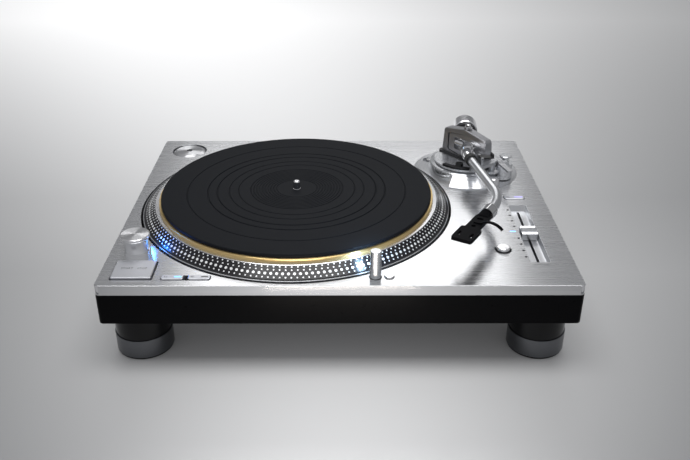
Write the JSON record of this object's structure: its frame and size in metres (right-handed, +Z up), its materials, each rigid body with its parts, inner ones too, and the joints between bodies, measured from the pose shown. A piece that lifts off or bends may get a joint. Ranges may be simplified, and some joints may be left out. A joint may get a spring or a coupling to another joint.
{
  "type": "turntable",
  "caption": "Direct-drive record player with a round platter and strobe band, S-shaped tonearm, pitch slider, push keys, pop-up lamp and rubber feet.",
  "frame": {"origin": "under the middle of the whole body, hinge sockets included, on the surface the feet stand on", "axes": "+X to the right seen from the front, +Y to the back, +Z up"},
  "size_m": [0.453, 0.372, 0.1565],
  "materials": {
    "deck_aluminium": "fine horizontal brush, anodised",
    "body_black": "die-cast, satin black paint",
    "underbody_resin": "moulded",
    "base_rubber": "matte",
    "platter_casting": "cast and turned, black dotted band",
    "brass_disc": "turned edge",
    "damping_rubber": "matte",
    "mat_rubber": "matte, grooved",
    "spindle_steel": "polished",
    "strobe_black": "gloss",
    "strobe_lens": "clear",
    "knob_chrome": "turned top, polished side",
    "key_silver": "satin",
    "button_chrome": "polished",
    "lamp_metal": "turned",
    "liner_silver": "satin",
    "fader_silver": "satin",
    "adapter_aluminium": "turned",
    "arm_base_grey": "satin",
    "ring_grey": "turned, satin",
    "trim_steel": "satin",
    "carrier_grey": "satin",
    "shoe_black": "satin",
    "bracket_gunmetal": "satin",
    "screw_chrome": "polished",
    "rest_black": "satin",
    "clip_black": "satin",
    "lifter_black": "satin",
    "lever_steel": "satin",
    "dial_silver": "knurled",
    "gimbal_silver": "satin",
    "arm_silver": "turned",
    "ring_rubber": "matte",
    "tube_silver": "satin",
    "weight_steel": "turned",
    "dial_black": "satin, white marks",
    "collar_chrome": "knurled",
    "headshell_black": "black satin",
    "stator_copper": "wound coils on a board",
    "bearing_brass": "turned",
    "magnet_dark": "sintered",
    "supply_case": "folded sheet",
    "board_green": "laminate",
    "bay_black": "moulded",
    "terminal_gold": "plated",
    "inlet_black": "moulded",
    "hinge_black": "moulded",
    "foot_black": "gloss",
    "foot_metal": "satin"
  },
  "bodies": {
    "chassis": {"top_plate": "deck_aluminium", "die_cast_chassis": "body_black", "resin_underbody": "underbody_resin", "rubber_base": "base_rubber", "strobe_housing": "strobe_black", "strobe_window": "strobe_lens", "pitch_slide_liner": "liner_silver", "arm_base_plate": "arm_base_grey", "terminal_bay": "bay_black", "rear_terminals": "terminal_gold", "mains_inlet": "inlet_black", "hinge_sockets": "hinge_black", "stator": "stator_copper", "bearing_housing": "bearing_brass", "power_supply": "supply_case", "control_board": "board_green"},
    "platter_body": {"platter": "platter_casting", "brass_plate": "brass_disc", "damping_rubber": "damping_rubber", "rubber_mat": "mat_rubber", "spindle": "spindle_steel", "rotor_magnet": "magnet_dark"},
    "foot_front_left": {"foot_core_front_left": "foot_black", "foot_sleeve_front_left": "foot_metal"},
    "foot_front_right": {"foot_core_front_right": "foot_black", "foot_sleeve_front_right": "foot_metal"},
    "foot_back_left": {"foot_core_back_left": "foot_black", "foot_sleeve_back_left": "foot_metal"},
    "foot_back_right": {"foot_core_back_right": "foot_black", "foot_sleeve_back_right": "foot_metal"},
    "power_knob": {"power_knob": "knob_chrome"},
    "start_stop_button": {"start_stop_button": "key_silver"},
    "speed_button_33": {"speed_button_33": "key_silver"},
    "speed_button_45": {"speed_button_45": "key_silver"},
    "target_lamp": {"target_lamp": "lamp_metal"},
    "lamp_button": {"lamp_button": "button_chrome"},
    "reset_button": {"reset_button": "button_chrome"},
    "pitch_fader": {"pitch_fader": "fader_silver"},
    "pitch_range_button": {"pitch_range_button": "key_silver"},
    "adapter_45": {"adapter_45": "adapter_aluminium"},
    "height_ring": {"height_ring": "ring_grey"},
    "lock_lever": {"lock_lever": "trim_steel"},
    "arm_clip": {"arm_clip": "clip_black"},
    "cue_lifter": {"cue_lifter": "lifter_black"},
    "cue_lever": {"cue_lever": "lever_steel"},
    "anti_skate_dial": {"anti_skate_dial": "dial_silver"},
    "counterweight": {"counterweight": "weight_steel"},
    "pressure_dial": {"pressure_dial": "dial_black"},
    "arm_carrier": {"arm_carrier": "carrier_grey", "bracket_foot": "shoe_black", "gimbal_bracket": "bracket_gunmetal", "pivot_screw": "screw_chrome", "arm_rest": "rest_black"},
    "gimbal": {"gimbal_ring": "gimbal_silver"},
    "arm": {"arm_block": "arm_silver", "tube_rubber_ring": "ring_rubber", "arm_tube": "tube_silver"},
    "collar": {"locking_collar": "collar_chrome"},
    "headshell": {"headshell": "headshell_black", "finger_lift": "headshell_black"}
  },
  "joints": [
    {"name": "platter_spin", "type": "hinge", "parent": "chassis", "child": "platter_body", "pos_m": [-0.0475, -0.0142, 0.0985], "axis": [0, 0, 1], "continuous": true},
    {"name": "foot_height_front_left", "type": "slide", "parent": "chassis", "child": "foot_front_left", "axis": [0, 0, -1], "range_m": [0, 0.01]},
    {"name": "foot_height_front_right", "type": "slide", "parent": "chassis", "child": "foot_front_right", "axis": [0, 0, -1], "range_m": [0, 0.01]},
    {"name": "foot_height_back_left", "type": "slide", "parent": "chassis", "child": "foot_back_left", "axis": [0, 0, -1], "range_m": [0, 0.01]},
    {"name": "foot_height_back_right", "type": "slide", "parent": "chassis", "child": "foot_back_right", "axis": [0, 0, -1], "range_m": [0, 0.01]},
    {"name": "power_turn", "type": "hinge", "parent": "chassis", "child": "power_knob", "pos_m": [-0.2009, -0.117, 0.0985], "axis": [0, 0, 1], "range_deg": [0, 70]},
    {"name": "start_stop_press", "type": "slide", "parent": "chassis", "child": "start_stop_button", "axis": [0, 0, -1], "range_m": [0, 0.0018], "stiffness_N_per_m": 500, "springref_m": -0.002},
    {"name": "speed_33_press", "type": "slide", "parent": "chassis", "child": "speed_button_33", "axis": [0, 0, -1], "range_m": [0, 0.0012], "stiffness_N_per_m": 500, "springref_m": -0.002},
    {"name": "speed_45_press", "type": "slide", "parent": "chassis", "child": "speed_button_45", "axis": [0, 0, -1], "range_m": [0, 0.0012], "stiffness_N_per_m": 500, "springref_m": -0.002},
    {"name": "lamp_button_press", "type": "slide", "parent": "chassis", "child": "lamp_button", "axis": [0, 0, -1], "range_m": [0, 0.0012], "stiffness_N_per_m": 500, "springref_m": -0.002},
    {"name": "reset_press", "type": "slide", "parent": "chassis", "child": "reset_button", "axis": [0, 0, -1], "range_m": [0, 0.0015], "stiffness_N_per_m": 500, "springref_m": -0.002},
    {"name": "pitch_range_press", "type": "slide", "parent": "chassis", "child": "pitch_range_button", "axis": [0, 0, -1], "range_m": [0, 0.0008], "stiffness_N_per_m": 500, "springref_m": -0.002},
    {"name": "target_lamp_slide", "type": "slide", "parent": "chassis", "child": "target_lamp", "axis": [0, 0, -1], "range_m": [0, 0.027]},
    {"name": "pitch_slide", "type": "slide", "parent": "chassis", "child": "pitch_fader", "axis": [0, 1, 0], "range_m": [-0.046, 0.046]},
    {"name": "adapter_lift", "type": "slide", "parent": "chassis", "child": "adapter_45", "axis": [0, 0, 1], "range_m": [0, 0.015]},
    {"name": "ring_turn", "type": "hinge", "parent": "chassis", "child": "height_ring", "pos_m": [0.1488, 0.0746, 0.0985], "axis": [0, 0, 1], "range_deg": [0, 120]},
    {"name": "carrier_lift", "type": "slide", "parent": "chassis", "child": "arm_carrier", "axis": [0, 0, 1], "range_m": [0, 0.006]},
    {"name": "lock_turn", "type": "hinge", "parent": "chassis", "child": "lock_lever", "pos_m": [0.1079, 0.1041, 0.0985], "axis": [0, 0, 1], "range_deg": [0, 40]},
    {"name": "anti_skate_turn", "type": "hinge", "parent": "chassis", "child": "anti_skate_dial", "pos_m": [0.1747, 0.0301, 0.0985], "axis": [0, 0, 1], "range_deg": [0, 270]},
    {"name": "clip_turn", "type": "hinge", "parent": "arm_carrier", "child": "arm_clip", "pos_m": [0.15719, 0.02312, 0.1362], "axis": [0.168, -0.9858, 0], "range_deg": [0, 170]},
    {"name": "cue_lever_turn", "type": "hinge", "parent": "arm_carrier", "child": "cue_lever", "pos_m": [0.1825, 0.041, 0.1215], "axis": [-0.9563, -0.2924, 0], "range_deg": [0, 60]},
    {"name": "lift_rise", "type": "slide", "parent": "arm_carrier", "child": "cue_lifter", "axis": [0, 0, 1], "range_m": [0, 0.0055]},
    {"name": "arm_swing", "type": "hinge", "parent": "arm_carrier", "child": "gimbal", "pos_m": [0.1488, 0.0746, 0.1295], "axis": [0, 0, -1], "range_deg": [0, 42]},
    {"name": "arm_tilt", "type": "hinge", "parent": "gimbal", "child": "arm", "pos_m": [0.1488, 0.0746, 0.1295], "axis": [-0.6428, 0.766, 0], "range_deg": [0, 5]},
    {"name": "counterweight_slide", "type": "slide", "parent": "arm", "child": "counterweight", "axis": [0.0872, 0.9962, 0], "range_m": [-0.001, 0.01]},
    {"name": "dial_turn", "type": "hinge", "parent": "counterweight", "child": "pressure_dial", "pos_m": [0.1488, 0.0746, 0.1295], "axis": [-0.0872, -0.9962, 0], "continuous": true},
    {"name": "collar_turn", "type": "hinge", "parent": "arm", "child": "collar", "pos_m": [0.14694, -0.0992, 0.1295], "axis": [-0.515, -0.8572, 0], "range_deg": [0, 60]},
    {"name": "headshell_pull", "type": "slide", "parent": "arm", "child": "headshell", "axis": [-0.515, -0.8572, 0], "range_m": [0, 0.01]}
  ],
  "couplings": [
    {"joint": "carrier_lift", "follows": "ring_turn", "m_per_rad": 0.002864},
    {"joint": "lift_rise", "follows": "cue_lever_turn", "m_per_rad": 0.005252}
  ]
}
